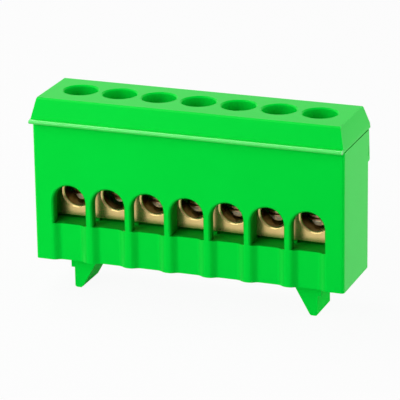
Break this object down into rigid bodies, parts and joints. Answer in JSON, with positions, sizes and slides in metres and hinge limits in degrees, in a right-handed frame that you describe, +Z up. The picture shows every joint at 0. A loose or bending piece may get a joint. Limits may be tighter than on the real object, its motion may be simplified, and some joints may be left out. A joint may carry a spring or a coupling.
{
  "type": "earth terminal bar",
  "caption": "Insulated earth bar on rail feet: a brass bar with clamp screws in a green housing with arched wire entries, under a removable cover with driver holes.",
  "frame": {"origin": "centre of the footprint, on the plane under the two rail feet, below the screw row", "axes": "+X along the bar to the right when facing the wire entries, +Y to the rear (the wires enter from -Y), +Z up towards the driver holes"},
  "size_m": [0.0544, 0.0162, 0.034],
  "materials": {
    "green_plastic": "moulded green insulating plastic, satin gloss, rounded edges",
    "brass": "drawn brass, bright, chamfered wire holes",
    "plated_steel": "steel with a pale yellow plating, turned, slotted head"
  },
  "bodies": {
    "base": {"housing": "green_plastic", "cover": "green_plastic", "brass_bar": "brass"},
    "screw_1": {"clamp_screw_1": "plated_steel"},
    "screw_2": {"clamp_screw_2": "plated_steel"},
    "screw_3": {"clamp_screw_3": "plated_steel"},
    "screw_4": {"clamp_screw_4": "plated_steel"},
    "screw_5": {"clamp_screw_5": "plated_steel"},
    "screw_6": {"clamp_screw_6": "plated_steel"},
    "screw_7": {"clamp_screw_7": "plated_steel"}
  },
  "joints": [
    {"name": "screw_1_travel", "type": "slide", "parent": "base", "child": "screw_1", "axis": [0, 0, 1], "range_m": [-0.00005, 0.00495]},
    {"name": "screw_2_travel", "type": "slide", "parent": "base", "child": "screw_2", "axis": [0, 0, 1], "range_m": [-0.00045, 0.00455]},
    {"name": "screw_3_travel", "type": "slide", "parent": "base", "child": "screw_3", "axis": [0, 0, 1], "range_m": [-0.0001, 0.0049]},
    {"name": "screw_4_travel", "type": "slide", "parent": "base", "child": "screw_4", "axis": [0, 0, 1], "range_m": [-0.00015, 0.00485]},
    {"name": "screw_5_travel", "type": "slide", "parent": "base", "child": "screw_5", "axis": [0, 0, 1], "range_m": [-0.00005, 0.00495]},
    {"name": "screw_6_travel", "type": "slide", "parent": "base", "child": "screw_6", "axis": [0, 0, 1], "range_m": [-0.0001, 0.0049]},
    {"name": "screw_7_travel", "type": "slide", "parent": "base", "child": "screw_7", "axis": [0, 0, 1], "range_m": [0, 0.005]}
  ]
}
